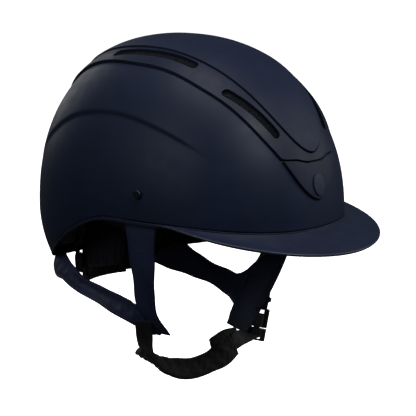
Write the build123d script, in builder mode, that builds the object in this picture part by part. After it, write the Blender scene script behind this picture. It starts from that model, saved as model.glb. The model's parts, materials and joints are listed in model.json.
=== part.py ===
from build123d import *
import math
import os

# An equestrian riding helmet, in millimetres. +Z is up, -Y is the front with the peak, and +X is
# the wearer's left. The origin is the middle of the dome at the level where the rim sits.

# ---- driving dimensions: the dome ----
HALF_WIDTH = 111.0  # shell, outside, at the rim
HALF_LENGTH = 142.0
HEIGHT = 150.0  # from the rim's level to the crown
SKIRT_DEPTH = 120.0  # how steeply the dome draws in below the rim's level
FRONT_SHIFT = 8.0  # the rim's middle lies this far in front of the crown
PLAN_POWER = 2.35  # 2 is an ellipse in plan, more is squarer
SIDE_POWER = 2.2
CROWN_ANGLE = 3.0  # the dome's small flat top, degrees from the crown
SKIRT_ANGLE = 118.0  # how far below the crown the dome runs before it is trimmed
LEVELS = 13
RING_POINTS = 24

# ---- driving dimensions: layers, as gaps inside the shell's outer face ----
SHELL_THICK = 2.5
LINER_GAP = 2.8
TRIM_PROUD = 0.6  # the rim band and trim stand this far outside the shell
BAND_INNER = 3.0
FRAME_PROUD = 2.4
PANEL_PROUD = 3.6
LAYER_GAP = 0.15  # clearance between curved layers that lie on each other
CAVITY_HALF_WIDTH = 86.5
CAVITY_HALF_LENGTH = 108.0
CAVITY_HEIGHT = 121.0
CAVITY_SHIFT = 6.0
STRAIGHT_DEPTH = 600.0  # a cavity wall that runs almost straight down
HEADBAND_THICK = 8.0
CROWN_PAD_THICK = 7.0

# ---- driving dimensions: rim and peak ----
SEAM_SIDE = 5.6  # height of the line between the shell and the rim band, at the sides
SEAM_DROP = 8.0  # how much lower that line is at the very front
SEAM_FLAT_Y = -30.0
SEAM_FRONT_Y = -150.0
REAR_SEAM = [(5, 4.2), (27, -4), (46, -14.5), (84, -40), (112, -52.5), (150, -57)]
BAND_DEEP = 2.8
TRIM_DEEP = 2.2
TRIM_START_Y = 42.0
PEAK_REACH = 40.0
PEAK_HALF_ANGLE = 70.0
PEAK_POWER = 1.1
PEAK_DROOP = 24.1
PEAK_DROOP_POWER = 1.2
PEAK_EDGE_LEVEL = 6.0
PEAK_NOSE = 1.4
PEAK_ROOT_THICK = 5.0

# ---- driving dimensions: straps and fasteners ----
WEBBING_WIDTH = 15.0
WEBBING_THICK = 1.6
ANCHOR_Y, ANCHOR_Z = -41.0, 28.7
ANCHOR_FACE_X = 108.8
SCREW_HEAD_R, SCREW_SHANK_R = 3.8, 2.0

# ---- driving dimensions: nape cradle and dial ----
ARC_Y = 30.0  # centre of the round cradle band, in plan
CRADLE_R = 66.0
CRADLE_THICK = 2.5
PIVOT_Y, PIVOT_Z = 33.0, 2.0
PIVOT_R = 3.0
RUNNING_GAP = 0.05  # round a shaft, on the radius
DIAL_Z = -65.0
RACK_R = 70.0
RACK_THICK = 1.3
PINION_PITCH_R = 6.0
PINION_TEETH = 8
KNOB_R = 13.0

SPAN = 170.0  # half the width of a block that cuts right across the helmet
TOP = 190.0


# ---- the dome's form ----


def dome_section(angle, half_width, half_length, height, depth, shift):
    """Height of the dome's section at an angle from the crown, with its size and its shift."""
    lean = math.radians(angle)
    if angle <= 90:
        across, up = math.sin(lean), abs(math.cos(lean))
        scale = (across**SIDE_POWER + up**SIDE_POWER) ** (-1 / SIDE_POWER)
        ratio = across * scale
        return height * up * scale, half_width * ratio, half_length * ratio, shift * ratio**2
    below = (lean - math.pi / 2) * height / depth
    ratio = math.cos(below)
    return -depth * math.sin(below), half_width * ratio, half_length * ratio, shift


def plan_point(turn, half_width, half_length, shift):
    """A point of the squarish oval that every level of the dome has."""
    across, along = math.cos(turn), math.sin(turn)
    scale = (abs(across) ** PLAN_POWER + abs(along) ** PLAN_POWER) ** (-1 / PLAN_POWER)
    return half_width * across * scale, half_length * along * scale - shift


def make_dome(half_width, half_length, height, depth, shift, bottom):
    """A closed dome, lofted through its levels from the crown down."""
    step = (bottom - CROWN_ANGLE) / (LEVELS - 1)
    with BuildPart() as form:
        for level in range(LEVELS):
            z, width, length, forward = dome_section(
                CROWN_ANGLE + level * step, half_width, half_length, height, depth, shift
            )
            turns = [2 * math.pi * i / RING_POINTS for i in range(RING_POINTS)]
            with BuildSketch(Plane.XY.offset(z)):
                with BuildLine():
                    Spline([plan_point(t, width, length, forward) for t in turns], periodic=True)
                make_face()
        loft()
    return form.part


def dome(gap, bottom=SKIRT_ANGLE):
    """The helmet's dome, gap inside the shell's outer face."""
    return make_dome(
        HALF_WIDTH - gap, HALF_LENGTH - gap, HEIGHT - gap, SKIRT_DEPTH, FRONT_SHIFT, bottom
    )


def cavity(inset=0.0):
    """The space for the head and its padding, with walls that run straight down."""
    return make_dome(
        CAVITY_HALF_WIDTH - inset,
        CAVITY_HALF_LENGTH - inset,
        CAVITY_HEIGHT - inset,
        STRAIGHT_DEPTH,
        CAVITY_SHIFT,
        112.0,
    )


def layer(outer_gap, inner_gap):
    """A skin of the dome between two gaps. The inner form is longer, so the skirt stays open."""
    with BuildPart() as skin:
        add(dome(outer_gap))
        add(dome(inner_gap, SKIRT_ANGLE + 2), mode=Mode.SUBTRACT)
    return skin.part


# ---- lines and blocks that trim it ----


def seam_height(y):
    """Height of the line between the shell and the rim band, over the front half."""
    return SEAM_SIDE - SEAM_DROP * ((SEAM_FLAT_Y - y) / (SEAM_FLAT_Y - SEAM_FRONT_Y)) ** 2


def above_seam(lowered=0.0):
    """Everything above the seam line, or above a line that is lowered from it."""
    front = [(y, seam_height(y)) for y in (-200, -150, -110, -70, -30)]
    line = [(y, z - lowered) for y, z in front + REAR_SEAM]
    with BuildPart() as block:
        with BuildSketch(Plane.YZ):
            with BuildLine():
                edge = Spline(line)
                Polyline(edge @ 1, (150, TOP), (-200, TOP), edge @ 0)
            make_face()
        extrude(amount=SPAN, both=True)
    return block.part


def block_between(x_range, y_range, z_range):
    """A plain block between two corners."""
    size = [high - low for low, high in (x_range, y_range, z_range)]
    middle = [(high + low) / 2 for low, high in (x_range, y_range, z_range)]
    with BuildPart(Plane(middle)) as block:
        Box(*size)
    return block.part


FRONT_PLANE = Plane((0, -150, 150), x_dir=(1, 0, 0), z_dir=(0, -1, 1))
REAR_PLANE = Plane((0, 100, 173.2), x_dir=(1, 0, 0), z_dir=(0, 0.5, 0.866))
REAR_FACE = Plane((0, 0, 150), x_dir=(1, 0, 0), z_dir=(0, 0, 1))


def outline_prism(plane, half_outline, depth):
    """A symmetric outline, given as its +X half from front to rear, extruded into the helmet."""
    mirrored = [(-x, y) for x, y in reversed(half_outline)]
    with BuildPart() as prism:
        with BuildSketch(plane):
            with BuildLine():
                right = Spline(half_outline)
                left = Spline(mirrored)
                if (right @ 1 - left @ 0).length > 0.01:
                    Line(right @ 1, left @ 0)
                if (left @ 1 - right @ 0).length > 0.01:
                    Line(left @ 1, right @ 0)
            make_face()
        extrude(amount=-depth)
    return prism.part


# Half outlines across the dome, as (x, distance along the plane) from front to rear.
FRAME_FRONT = [
    (0, -91.2), (12.9, -86.5), (25.5, -74.4), (35.1, -58.6), (45.6, -37.3),
    (52.6, -15.8), (58.7, 10.9), (62.3, 33), (62.8, 56.2), (61.3, 91.5), (60, 115),
]
FRAME_REAR = [(62, -95), (61.3, -66), (57.5, -40), (52, -14), (45, 14), (32, 44), (14, 64), (0, 69)]
PANEL_FRONT = [
    (0, -57.3), (5.5, -56.0), (14.2, -50.1), (23.6, -36.8), (30, -21.5),
    (37.4, 9.6), (41.5, 38.9), (43.2, 64.9), (42, 100), (41.5, 125),
]
PANEL_REAR = [(42, -100), (41.7, -70), (41, -48), (37.5, -20), (29, 8), (15, 26), (0, 31)]
SLIT_FRONT = [(0, -65), (10, -64.6), (20, -61.6), (33, -58.6), (40, -55.5), (60, -47)]
SLIT_WIDTH = 1.6
PANEL_GROOVE = 0.9


def grown(outline, amount):
    """A half outline with its points moved outward by an amount."""
    moved = []
    for i, (x, y) in enumerate(outline):
        before, after = outline[max(i - 1, 0)], outline[min(i + 1, len(outline) - 1)]
        dx, dy = after[0] - before[0], after[1] - before[1]
        size = math.hypot(dx, dy)
        moved.append((0 if x == 0 else x + amount * dy / size, y - amount * dx / size))
    return moved


def over_dome(front_outline, rear_outline):
    """One region of the dome, from a front outline and a rear outline that meet at y = 0."""
    front_half = block_between((-SPAN, SPAN), (-SPAN, 0), (-10, TOP))
    rear_half = block_between((-SPAN, SPAN), (0, SPAN), (-10, TOP))
    front_prism = outline_prism(FRONT_PLANE, front_outline, 190)
    rear_prism = outline_prism(REAR_PLANE, rear_outline, 150)
    with BuildPart() as region:
        add(front_prism)
        add(front_half, mode=Mode.INTERSECT)
    with BuildPart() as rear_region:
        add(rear_prism)
        add(rear_half, mode=Mode.INTERSECT)
    with BuildPart() as both:
        add(region.part)
        add(rear_region.part)
    return both.part


def slot_prism(plane, start, end, width, depth):
    """A round-ended slot between two points of a plane, extruded into the helmet."""
    middle = ((start[0] + end[0]) / 2, (start[1] + end[1]) / 2)
    length = math.dist(start, end)
    lean = math.degrees(math.atan2(end[1] - start[1], end[0] - start[0]))
    with BuildPart() as prism:
        with BuildSketch(plane):
            with Locations(Location((middle[0], middle[1], 0), (0, 0, lean))):
                SlotOverall(length, width)
        extrude(amount=-depth)
    return prism.part


def under_slit():
    """Everything in front of and below the slit across the front of the vent frame."""
    mirrored = [(-x, y) for x, y in reversed(SLIT_FRONT)]
    with BuildPart() as block:
        with BuildSketch(FRONT_PLANE):
            with BuildLine():
                edge = Spline(mirrored[:-1] + SLIT_FRONT)
                Polyline(edge @ 1, (60, -120), (-60, -120), edge @ 0)
            make_face()
        extrude(amount=-190)
    return block.part


def save(piece, name):
    """Labels a finished piece and writes it to its own file."""
    piece.label = name
    export_step(piece, f"parts/{name}.step")


os.makedirs("parts", exist_ok=True)

# ---- vents ----

FRONT_VENT = ((32.7, -39.0), (53.0, 18.8))
REAR_VENT = ((49.5, -57.3), (49.0, 36.7))
VENT_WIDTH = 8.0
VENT_DEPTH = 130.0


def mirrored_slot(ends, side):
    return [(side * x, y) for x, y in ends]


def vent_tool(name, side, width, trim=0.0):
    """The cutting slot of one vent; trim shortens it at both ends."""
    plane, ends = (FRONT_PLANE, FRONT_VENT) if name == "front" else (REAR_FACE, REAR_VENT)
    start, end = mirrored_slot(ends, side)
    reach = math.dist(start, end)
    share = trim / reach
    dx, dy = (end[0] - start[0]) * share, (end[1] - start[1]) * share
    return slot_prism(
        plane, (start[0] + dx, start[1] + dy), (end[0] - dx, end[1] - dy), width, VENT_DEPTH
    )


VENTS = [(name, side) for name in ("front", "rear") for side in (-1, 1)]
SIDE_NAME = {-1: "right", 1: "left"}
frame_slots = [vent_tool(name, side, VENT_WIDTH) for name, side in VENTS]
shell_slots = [vent_tool(name, side, VENT_WIDTH - 2.4, 2.0) for name, side in VENTS]
liner_slots = [vent_tool(name, side, VENT_WIDTH + 2.0) for name, side in VENTS]

# ---- outer shell ----

with BuildPart() as outer_shell:
    add(layer(0, SHELL_THICK))
    add(above_seam(), mode=Mode.INTERSECT)
    for slot in shell_slots:
        add(slot, mode=Mode.SUBTRACT)
    with Locations((0, ANCHOR_Y, ANCHOR_Z)):
        Cylinder(SCREW_SHANK_R + 0.2, 2 * SPAN, rotation=(0, 90, 0), mode=Mode.SUBTRACT)
save(outer_shell.part, "outer_shell")

# ---- peak with the rim band ----


def brim_section(degrees):
    """One upright section of the peak at an angle round the rim, 0 at the front."""
    turn = math.radians(degrees - 90)
    ahead = math.radians(degrees + 0.5 - 90)
    x, y = plan_point(turn, HALF_WIDTH, HALF_LENGTH, FRONT_SHIFT)
    x_ahead, y_ahead = plan_point(ahead, HALF_WIDTH, HALF_LENGTH, FRONT_SHIFT)
    along = Vector(x_ahead - x, y_ahead - y, 0).normalized()
    outward = along.cross(Vector(0, 0, 1))
    share = max(math.cos(math.radians(90 * degrees / PEAK_HALF_ANGLE)), 0.0)
    reach = PEAK_REACH * share**PEAK_POWER
    edge_z = PEAK_EDGE_LEVEL - PEAK_DROOP * share**PEAK_DROOP_POWER
    seam = seam_height(min(y, SEAM_FLAT_Y))
    root_top, root_low = seam - 0.3, seam - 0.3 - 2.0 - (PEAK_ROOT_THICK - 2.0) * min(1, reach / 20)
    nose = min(PEAK_NOSE, 0.6 + reach / 25)
    tip = max(reach, 0.3)
    mid_z = (root_top + edge_z) / 2 - 0.06 * reach
    edge_mid = min(edge_z, root_top - 1.2)
    with BuildSketch(Plane((x, y, 0), x_dir=outward, z_dir=-along)) as section:
        with BuildLine():
            top = Spline((-1.8, root_top), (tip * 0.5 - 0.9, mid_z if reach > 3 else root_top - 0.3),
                         (tip - nose, min(edge_mid + nose, root_top - 0.4)))
            nose_arc = ThreePointArc(top @ 1, (tip, edge_mid), (tip - nose, edge_mid - nose))
            low_z = min(root_low, edge_mid - nose - 0.1) if reach < 3 else root_low
            under = Line(nose_arc @ 1, (-1.8, low_z))
            Line(under @ 1, top @ 0)
        make_face()
    return section.sketch


PEAK_ANGLES = [-70, -62, -52, -40, -27, -13.5, 0, 13.5, 27, 40, 52, 62, 70]
with BuildPart() as brim:
    add([brim_section(a) for a in PEAK_ANGLES])
    loft()

with BuildPart() as shell_seat_form:
    add(dome(-LAYER_GAP))
    add(above_seam(LAYER_GAP), mode=Mode.INTERSECT)
shell_seat = shell_seat_form.part

with BuildPart() as peak:
    add(layer(-TRIM_PROUD, BAND_INNER))
    add(above_seam(BAND_DEEP), mode=Mode.INTERSECT)
    add(above_seam(LAYER_GAP), mode=Mode.SUBTRACT)
    add(block_between((-SPAN, SPAN), (TRIM_START_Y, SPAN), (-TOP, TOP)), mode=Mode.SUBTRACT)
    add(brim.part)
    add(shell_seat, mode=Mode.SUBTRACT)
save(peak.part, "peak")

# ---- trim round the back of the rim ----

with BuildPart() as rear_rim_trim:
    add(layer(-TRIM_PROUD / 2, BAND_INNER))
    add(above_seam(TRIM_DEEP), mode=Mode.INTERSECT)
    add(above_seam(LAYER_GAP), mode=Mode.SUBTRACT)
    add(
        block_between((-SPAN, SPAN), (-TOP, TRIM_START_Y + LAYER_GAP), (-TOP, TOP)),
        mode=Mode.SUBTRACT,
    )
save(rear_rim_trim.part, "rear_rim_trim")

# ---- vent frame, centre panel and front badge panel ----

frame_region = over_dome(FRAME_FRONT, FRAME_REAR)
panel_region = over_dome(PANEL_FRONT, PANEL_REAR)
panel_opening = over_dome(grown(PANEL_FRONT, PANEL_GROOVE), grown(PANEL_REAR, PANEL_GROOVE))
front_of_slit = under_slit()
with BuildPart() as slit_band:
    add(front_of_slit.moved(Location((0, 0.7 * SLIT_WIDTH, 0.7 * SLIT_WIDTH))))

with BuildPart() as vent_frame:
    add(layer(-FRAME_PROUD, -LAYER_GAP))
    add(frame_region, mode=Mode.INTERSECT)
    add(panel_opening, mode=Mode.SUBTRACT)
    add(slit_band.part, mode=Mode.SUBTRACT)
    for slot in frame_slots:
        add(slot, mode=Mode.SUBTRACT)
save(vent_frame.part, "vent_frame")

with BuildPart() as centre_panel:
    add(layer(-PANEL_PROUD, -LAYER_GAP))
    add(panel_region, mode=Mode.INTERSECT)
save(centre_panel.part, "centre_panel")

with BuildPart() as front_badge_panel:
    add(layer(-FRAME_PROUD, -LAYER_GAP))
    add(frame_region, mode=Mode.INTERSECT)
    add(front_of_slit, mode=Mode.INTERSECT)
save(front_badge_panel.part, "front_badge_panel")

# ---- badge: a plain raised oval ----

BADGE_Z = 34.4
BADGE_WIDTH, BADGE_HEIGHT = 15.0, 18.5
BADGE_PROUD = 3.4

with BuildPart() as badge_oval:
    with BuildSketch(Plane.XZ.offset(170)):
        with Locations((0, BADGE_Z)):
            Ellipse(BADGE_WIDTH / 2, BADGE_HEIGHT / 2)
    extrude(amount=-60)

with BuildPart() as badge_emblem:
    add(layer(-BADGE_PROUD, -FRAME_PROUD - LAYER_GAP))
    add(badge_oval.part, mode=Mode.INTERSECT)
save(badge_emblem.part, "badge_emblem")

# ---- wire grilles in the four vents, and the front air inlet ----

for name, side in VENTS:
    with BuildPart() as vent_mesh:
        add(layer(-1.1, -0.2))
        add(vent_tool(name, side, VENT_WIDTH - 0.5, 0.4), mode=Mode.INTERSECT)
    save(vent_mesh.part, f"{name}_vent_mesh_{SIDE_NAME[side]}")

with BuildPart() as inlet_slot:
    with BuildSketch(FRONT_PLANE):
        with Locations((0, -64.15)):
            SlotOverall(14, 1.0)
    extrude(amount=-190)

with BuildPart() as air_inlet:
    add(layer(-1.0, -0.2))
    add(inlet_slot.part, mode=Mode.INTERSECT)
save(air_inlet.part, "air_inlet")

# ---- foam liner that takes the blow ----

STRAP_POCKET_X = (97.6, 112.0)
REAR_POCKET_X = (33.0, 64.0)
LINER_LIFT = -5.0  # the liner ends this far above the seam line


def both_sides(x_range):
    """The same range on the wearer's right and left."""
    return [x_range, (-x_range[1], -x_range[0])]


liner_cavity = cavity()
strap_pockets = [block_between(x, (-60, -20), (-60, 50)) for x in both_sides(STRAP_POCKET_X)]
rear_pockets = [block_between(x, (92, 128), (-60, -22)) for x in both_sides(REAR_POCKET_X)]

dial_recess = block_between((-19, 19), (98, 114.5), (-60, -38))
PIN_END_X = 92.0  # the cradle's pivot pins reach this far into the liner

with BuildPart() as impact_liner:
    add(dome(LINER_GAP))
    add(liner_cavity, mode=Mode.SUBTRACT)
    add(above_seam(LINER_LIFT), mode=Mode.INTERSECT)
    for tool in strap_pockets + rear_pockets + liner_slots + [dial_recess]:
        add(tool, mode=Mode.SUBTRACT)
    with Locations((0, PIVOT_Y, PIVOT_Z)):
        Cylinder(PIVOT_R, 2 * PIN_END_X, rotation=(0, 90, 0), mode=Mode.SUBTRACT)
save(impact_liner.part, "impact_liner")

# ---- comfort lining: a padded band round the brow and a pad under the crown ----

HEADBAND_Z = (7.0, 40.0)
CROWN_BAR = 34.0

with BuildPart() as comfort_headband:
    add(cavity(0.3))
    add(cavity(0.3 + HEADBAND_THICK), mode=Mode.SUBTRACT)
    add(block_between((-SPAN, SPAN), (-SPAN, SPAN), HEADBAND_Z), mode=Mode.INTERSECT)
save(comfort_headband.part, "comfort_headband")

with BuildPart() as crown_cross:
    with BuildSketch(Plane.XY.offset(62)):
        RectangleRounded(CROWN_BAR, 176, 14)
        RectangleRounded(132, CROWN_BAR + 6, 14)
    extrude(amount=90)

with BuildPart() as crown_pad:
    add(cavity(0.4))
    add(cavity(0.4 + CROWN_PAD_THICK), mode=Mode.SUBTRACT)
    add(crown_cross.part, mode=Mode.INTERSECT)
save(crown_pad.part, "crown_pad")

# ---- screws that hold the front straps, their nuts, and the rear strap rivets ----

STRAP_TOP_X = 102.5
NUT_FACE_X = 100.4

with BuildPart() as side_anchor_screws:
    for side in (-1, 1):
        with BuildSketch(Plane((side * ANCHOR_FACE_X, ANCHOR_Y, ANCHOR_Z), z_dir=(side, 0, 0))):
            Circle(SCREW_HEAD_R)
        extrude(amount=1.9)
        with BuildSketch(Plane((side * ANCHOR_FACE_X, ANCHOR_Y, ANCHOR_Z), z_dir=(-side, 0, 0))):
            Circle(SCREW_SHANK_R)
        extrude(amount=9.4)
    fillet(side_anchor_screws.faces().filter_by(Axis.X).group_by(Axis.X)[0].edges(), 0.8)
    fillet(side_anchor_screws.faces().filter_by(Axis.X).group_by(Axis.X)[-1].edges(), 0.8)
save(side_anchor_screws.part, "side_anchor_screws")

with BuildPart() as anchor_nuts:
    for side in (-1, 1):
        with BuildSketch(Plane((side * NUT_FACE_X, ANCHOR_Y, ANCHOR_Z), z_dir=(-side, 0, 0))):
            Circle(4.5)
            Circle(SCREW_SHANK_R + 0.05, mode=Mode.SUBTRACT)
        extrude(amount=1.6)
save(anchor_nuts.part, "anchor_nuts")

REAR_ANCHOR = (47.5, 100.5, -34.0)

with BuildPart() as rear_strap_anchors:
    for side in (-1, 1):
        spot = (side * REAR_ANCHOR[0], REAR_ANCHOR[1] + 5.0, REAR_ANCHOR[2])
        with BuildSketch(Plane(spot, z_dir=(0, 1, 0))):
            RectangleRounded(18, 12, 2.5)
        extrude(amount=2.0)
        with BuildSketch(Plane(spot, z_dir=(0, -1, 0))):
            Circle(2.0)
        extrude(amount=8.0)
save(rear_strap_anchors.part, "rear_strap_anchors")

# ---- chin harness: the padded Y straps ----


def strap(stations):
    """A flat padded strap through its stations.

    Each station is the middle point, the way the strap runs, the way its width lies, the width
    and the thickness.
    """
    with BuildPart() as band:
        for point, run, across, width, thick in stations:
            flat = Vector(*across) - Vector(*run) * (
                Vector(*across).dot(Vector(*run)) / Vector(*run).dot(Vector(*run))
            )
            with BuildSketch(Plane(point, x_dir=flat, z_dir=run)):
                RectangleRounded(width, thick, thick * 0.42)
        loft()
    return band.part


def mirrored_stations(stations):
    return [
        ((-p[0], p[1], p[2]), (-r[0], r[1], r[2]), (-a[0], a[1], a[2]), w, t)
        for p, r, a, w, t in stations
    ]


FRONT_LEG_TOP = [
    ((-99.6, -40.5, 45), (-0.11, 0, -1), (-0.11, 1, 0), 24, 2.2),
    ((-103.2, -39.5, 6), (-0.06, 0, -1), (-0.11, 1, 0), 30, 2.4),
]
RIGHT_FRONT_LEG = FRONT_LEG_TOP + [
    ((-99.5, -37, -25), (0.17, 0.1, -0.98), (0, 1, 0), 27.5, 4.6),
    ((-91.5, -32.5, -55), (0.32, 0.2, -0.93), (0.1, 1, 0), 23, 5.0),
    ((-78, -24, -80), (0.6, 0.15, -0.8), (0.2, 1, 0), 24, 5.0),
    ((-57, -21, -104), (0.7, -0.1, -0.7), (0, 1, 0.1), 25, 3.6),
]
RIGHT_REAR_LEG = [
    ((-72, -14, -88), (-0.3, 0.9, 0.3), (0.5, -0.1, 0.8), 18, 4.2),
    ((-80, 6.5, -79.5), (-0.28, 0.9, 0.35), (0.5, -0.1, 0.8), 17, 4.5),
    ((-85, 25, -71.5), (-0.1, 0.97, 0.2), (0.6, 0, 0.8), 14, 4.5),
    ((-84.5, 48, -66), (0.1, 0.98, 0.15), (0.5, 0, 0.8), 13, 4.5),
    ((-77, 70, -60), (0.42, 0.85, 0.25), (0.5, 0, 0.8), 13, 4.5),
    ((-63, 88, -57), (0.66, 0.6, 0.3), (0.1, -0.3, 1), 13, 4.2),
    ((-51, 96, -49), (0.35, 0.35, 0.85), (-0.85, -0.3, 0.3), 13, 3.2),
    ((-47, 101.5, -28), (0, 0.1, 1), (-0.95, -0.3, 0), 13, 2.4),
]
LEFT_FRONT_LEG = mirrored_stations(FRONT_LEG_TOP) + [
    ((99.5, -37, -25), (-0.17, 0.05, -0.98), (0, 1, 0), 28, 4.6),
    ((92, -34, -56), (-0.3, 0.1, -0.93), (-0.1, 1, 0), 26, 5.0),
    ((78.4, -26, -86), (-0.55, 0.1, -0.83), (-0.2, 1, 0), 26, 4.6),
    ((57, -20, -117), (-0.58, -0.1, -0.8), (0, 1, 0.1), 23, 3.4),
]
LEFT_REAR_LEG = [
    ((75, -14, -92), (0.25, 0.95, 0.1), (-0.5, -0.1, 0.8), 21, 4.2),
    ((83, 12, -86), (0.12, 0.98, 0.18), (-0.4, -0.1, 0.9), 19, 4.5),
    ((84.5, 35, -81), (-0.05, 0.99, 0.2), (-0.3, 0, 0.9), 19, 4.5),
    ((79, 60, -75), (-0.35, 0.9, 0.25), (-0.3, 0, 0.9), 17, 4.5),
    ((66, 82, -66), (-0.6, 0.68, 0.4), (-0.1, -0.3, 1), 15, 4.2),
    ((52, 95, -51), (-0.35, 0.38, 0.85), (0.85, -0.3, 0.3), 13, 3.2),
    ((47, 101.5, -28), (0, 0.1, 1), (0.95, -0.3, 0), 13, 2.4),
]


def y_strap(front_leg, rear_leg):
    """One Y strap: a front leg and a rear leg that meet below the ear, with its two rivet holes."""
    side = 1 if front_leg[0][0][0] > 0 else -1
    legs = strap(front_leg), strap(rear_leg)
    with BuildPart() as whole:
        add(legs[0])
        add(legs[1])
        with Locations((side * STRAP_TOP_X, ANCHOR_Y, ANCHOR_Z)):
            Cylinder(SCREW_SHANK_R + 0.1, 12, rotation=(0, 90, 0), mode=Mode.SUBTRACT)
        with Locations((side * REAR_ANCHOR[0], REAR_ANCHOR[1], REAR_ANCHOR[2])):
            Cylinder(2.1, 30, rotation=(90, 0, 0), mode=Mode.SUBTRACT)
    return whole.part


save(y_strap(RIGHT_FRONT_LEG, RIGHT_REAR_LEG), "right_y_strap")
save(y_strap(LEFT_FRONT_LEG, LEFT_REAR_LEG), "left_y_strap")

# ---- chin strap: webbing, padded sleeve and side-release buckle ----

BUCKLE_RUN = Vector(-0.29, 0, -0.957)
BUCKLE_TOP = Vector(74.6, -31, -105)
BUCKLE_WIDTH, BUCKLE_THICK = 21.0, 7.6
FEMALE_LONG, MALE_GAP, MALE_LONG = 18.0, 0.5, 12.0
MALE_TOP = FEMALE_LONG + MALE_GAP
SLOT_WIDE, SLOT_LONG = 16.0, 3.0
BAR_LONG = 1.8
CAVITY_START, CAVITY_WIDE, CAVITY_THICK = 6.0, 17.2, 5.2
WINDOW_START = 8.5
TONGUE_WIDE, TONGUE_THICK, TONGUE_TOP = 5.0, 2.8, 7.6
PRONG_IN, PRONG_OUT, PRONG_FACE, PRONG_THICK = 5.6, 8.0, 10.2, 2.8


def buckle_plane(along):
    """A plane across the buckle, this far along it from the female half's top."""
    return Plane(BUCKLE_TOP + BUCKLE_RUN * along, x_dir=(0, 1, 0), z_dir=BUCKLE_RUN)


def web(point, run, across):
    """A station of the plain webbing."""
    return point, run, across, WEBBING_WIDTH, WEBBING_THICK


RIGHT_WEBBING = [
    web((-71.3, -17.9, -96.0), (0.3, 0.3, -0.9), (0.1, 1, 0.3)),
    web((-66.6, -14, -106.4), (0.4, 0.35, -0.85), (0.1, 1, 0.3)),
    web((-56, -4.5, -120), (0.6, 0.2, -0.75), (0.2, 1, 0.3)),
    web((-46, 2.5, -130), (0.66, -0.1, -0.7), (0.25, 0.95, 0.1)),
]
LEFT_WEBBING = [
    web((84.5, -28, -88.5), (-0.5, -0.15, -0.83), (0, 1, 0)),
    web((80.5, -30, -95.5), (-0.48, -0.1, -0.85), (0, 1, 0)),
    web((76.7, -31, -102), (-0.36, 0, -0.93), (0, 1, 0)),
    web((75.0, -31, -106.6), (-0.29, 0, -0.957), (0, 1, 0)),
]
PAD_PATH = [
    ((-47, 12, -126.5), (0.5, -0.5, -0.7), (0.35, 0.8, -0.3), 22, 9.0),
    ((-40, 4.5, -134.5), (0.6, -0.5, -0.62), (0.32, 0.75, 0.0), 23, 9.0),
    ((-29, -5.5, -143.5), (0.75, -0.5, -0.35), (0.25, 0.6, 0.35), 22, 8.5),
    ((-12, -16.5, -147.5), (0.86, -0.5, 0.05), (0.2, 0.45, 0.8), 20, 8.5),
    ((4, -26, -143.5), (0.8, -0.45, 0.4), (-0.1, 0.4, 0.9), 20, 8.5),
    ((17, -32.5, -135.5), (0.75, -0.25, 0.6), (-0.4, 0.2, 0.88), 21, 8.0),
    ((28, -35.5, -128.5), (0.88, -0.1, 0.4), (-0.35, 0.15, 0.9), 17, 6.0),
]
SLEEVE_WEBBING = [web(point, run, across) for point, run, across, width, thick in PAD_PATH[1:]] + [
    web((38, -35.3, -126.0), (0.98, 0.08, 0.0), (-0.1, 0.5, 0.85)),
    web((48, -34, -126.2), (0.99, 0.12, -0.1), (-0.05, 0.8, 0.6)),
    web((57.5, -32.2, -127.3), (0.97, 0.1, -0.15), (0, 0.97, 0.25)),
    web((67, -31, -129.6), (0.957, 0, -0.29), (0, 1, 0)),
]
BUCKLE_PAD = [
    ((13, -28.0, -118.5), (0.95, -0.3, 0.05), (-0.1, 0.1, 0.97), 15, 3.4),
    ((24, -29.5, -116.8), (1, 0, 0), (0, 0.1, 1), 17, 4.0),
    ((37, -28.5, -117.8), (0.97, 0.2, -0.05), (0, 0.15, 0.98), 14, 3.0),
]

save(strap(RIGHT_WEBBING), "right_webbing")
save(strap(LEFT_WEBBING), "left_webbing")
save(strap(PAD_PATH), "chin_pad")
save(strap(SLEEVE_WEBBING), "chin_webbing")
save(strap(BUCKLE_PAD), "buckle_pad")

KEEPER_WALL = 1.0
KEEPER_HALF_LONG = 2.0

with BuildPart() as strap_keeper:
    with BuildSketch(Plane((79.5, -30.25, -97.3), x_dir=(0, 1, 0), z_dir=(-0.47, 0, -0.88))):
        RectangleRounded(WEBBING_WIDTH + 1 + 2 * KEEPER_WALL, 2.6 + 2 * KEEPER_WALL, 1.2)
        RectangleRounded(WEBBING_WIDTH + 1, 2.6, 0.6, mode=Mode.SUBTRACT)
    extrude(amount=KEEPER_HALF_LONG, both=True)
save(strap_keeper.part, "strap_keeper")

buckle_axis = Axis(tuple(BUCKLE_TOP), tuple(BUCKLE_RUN))

with BuildPart() as buckle_female:
    with BuildSketch(buckle_plane(0)):
        RectangleRounded(BUCKLE_WIDTH, BUCKLE_THICK, 3.2)
    extrude(amount=FEMALE_LONG)
    fillet(buckle_female.edges().group_by(buckle_axis)[0], 1.2)
    with BuildSketch(buckle_plane(CAVITY_START)):
        Rectangle(CAVITY_WIDE, CAVITY_THICK)
    extrude(amount=FEMALE_LONG, mode=Mode.SUBTRACT)
    with BuildSketch(buckle_plane(WINDOW_START)):
        Rectangle(2 * BUCKLE_WIDTH, CAVITY_THICK)
    extrude(amount=FEMALE_LONG, mode=Mode.SUBTRACT)
    with BuildSketch(buckle_plane(BAR_LONG)):
        Rectangle(SLOT_WIDE, 2 * BUCKLE_THICK)
    extrude(amount=SLOT_LONG, mode=Mode.SUBTRACT)
save(buckle_female.part, "buckle_female")

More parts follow.
